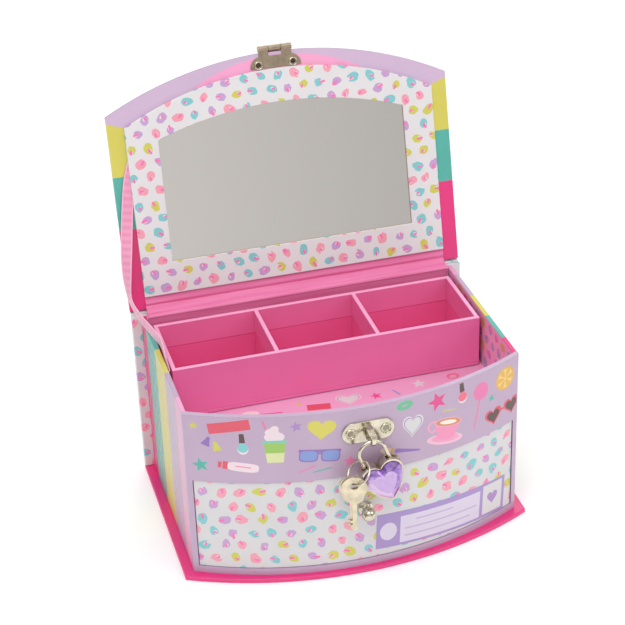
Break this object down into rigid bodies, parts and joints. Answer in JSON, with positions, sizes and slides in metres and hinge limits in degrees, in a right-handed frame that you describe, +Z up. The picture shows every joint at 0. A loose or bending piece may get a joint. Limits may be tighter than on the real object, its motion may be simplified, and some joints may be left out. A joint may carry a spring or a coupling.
{
  "type": "jewellery box",
  "caption": "Bow-fronted covered-board jewellery box with a mirrored hinged lid, lift-out tray, front drawer, hasp, small heart padlock and keys.",
  "frame": {"origin": "on the underside of the base board, midway between the two sides and 60 mm in front of the case's rear face", "axes": "+X to the box's right as seen from the front, +Y to the rear, +Z up; the bowed front looks along -Y"},
  "size_m": [0.1819, 0.176, 0.2211],
  "materials": {
    "magenta_cover_board": "glossy laminated printed paper over greyboard",
    "leopard_back_board": "glossy laminated paper, white with coloured spots",
    "striped_wall_board": "glossy laminated paper with upright colour stripes",
    "pink_board": "satin pink printed paper over greyboard",
    "lilac_printed_front": "glossy laminated lilac paper with small printed motifs",
    "leopard_lining_board": "glossy laminated paper, white with coloured spots",
    "pink_hinge_paper": "creased satin paper",
    "pink_satin_ribbon": "woven satin",
    "tray_board": "hot pink paper over board with paler cut edges",
    "drawer_board": "satin pink paper over board",
    "mirror_glass": "silvered",
    "dull_nickel": "dull warm nickel plate",
    "bright_nickel": "bright warm nickel plate",
    "purple_gem": "faceted, clear gloss"
  },
  "bodies": {
    "box": {"base_board": "magenta_cover_board", "back_board": "leopard_back_board", "left_wall": "striped_wall_board", "right_wall": "striped_wall_board", "rear_wall": "pink_board", "bottom_board": "pink_board", "compartment_floor": "pink_board", "front_panel": "lilac_printed_front", "staple_plate": "dull_nickel", "staple_loop": "bright_nickel", "staple_rivets": "dull_nickel", "hinge_cover_paper": "pink_hinge_paper", "hinge_lining_strip": "pink_hinge_paper", "lid_ribbon": "pink_satin_ribbon"},
    "lid": {"lid_board": "magenta_cover_board", "lid_lining_board": "leopard_lining_board", "mirror": "mirror_glass", "hasp_plate": "dull_nickel", "hasp_pin": "bright_nickel", "hasp_rivets": "dull_nickel"},
    "clasp_flap": {"hasp_flap": "dull_nickel"},
    "tray": {"tray_floor": "tray_board", "tray_front": "tray_board", "tray_back": "tray_board", "tray_left_end": "tray_board", "tray_left_divider": "tray_board", "tray_right_divider": "tray_board", "tray_right_end": "tray_board"},
    "drawer": {"drawer_front": "leopard_lining_board", "drawer_left_side": "drawer_board", "drawer_right_side": "drawer_board", "drawer_back": "drawer_board", "drawer_bottom": "drawer_board", "drawer_knob": "bright_nickel", "knob_screw": "bright_nickel"},
    "shackle": {"shackle": "bright_nickel"},
    "padlock": {"padlock_case": "bright_nickel", "padlock_pin": "bright_nickel", "padlock_gem": "purple_gem"},
    "ring": {"key_ring": "bright_nickel"},
    "front_key": {"key_front": "bright_nickel"},
    "rear_key": {"key_rear": "bright_nickel"}
  },
  "joints": [
    {"name": "lid_hinge", "type": "hinge", "parent": "box", "child": "lid", "pos_m": [0, 0.0624, 0.0961], "axis": [-1, 0, 0], "range_deg": [-103, 0], "deforming": ["hinge_cover_paper", "hinge_lining_strip", "lid_ribbon"]},
    {"name": "hasp_flap_hinge", "type": "hinge", "parent": "lid", "child": "clasp_flap", "pos_m": [0, 0.09212, 0.21948], "axis": [1, 0, 0], "range_deg": [0, 237]},
    {"name": "tray_lift", "type": "slide", "parent": "box", "child": "tray", "axis": [0, 0, 1], "range_m": [0, 0.035]},
    {"name": "drawer_slide", "type": "slide", "parent": "box", "child": "drawer", "axis": [0, -1, 0], "range_m": [0, 0.06]},
    {"name": "padlock_swing", "type": "hinge", "parent": "box", "child": "shackle", "pos_m": [0, -0.0666, 0.08], "axis": [-1, 0, 0], "range_deg": [0, 120]},
    {"name": "padlock_open", "type": "hinge", "parent": "shackle", "child": "padlock", "pos_m": [0.00891, -0.0666, 0.06758], "axis": [0, -1, 0], "range_deg": [0, 35]},
    {"name": "ring_swing", "type": "hinge", "parent": "shackle", "child": "ring", "pos_m": [-0.00478, -0.0666, 0.06741], "axis": [-0.6622, -0.2811, 0.6947], "range_deg": [0, 15]},
    {"name": "key_front_swing", "type": "hinge", "parent": "ring", "child": "front_key", "pos_m": [-0.01066, -0.07073, 0.05954], "axis": [0.2588, 0.9659, 0], "range_deg": [-15, 15]},
    {"name": "key_rear_swing", "type": "hinge", "parent": "ring", "child": "rear_key", "pos_m": [-0.01143, -0.06925, 0.0594], "axis": [0.2588, 0.9659, 0], "range_deg": [-15, 15]}
  ],
  "couplings": [
    {"joint": "padlock_swing", "follows": "drawer_slide", "rad_per_m": 34.9}
  ]
}
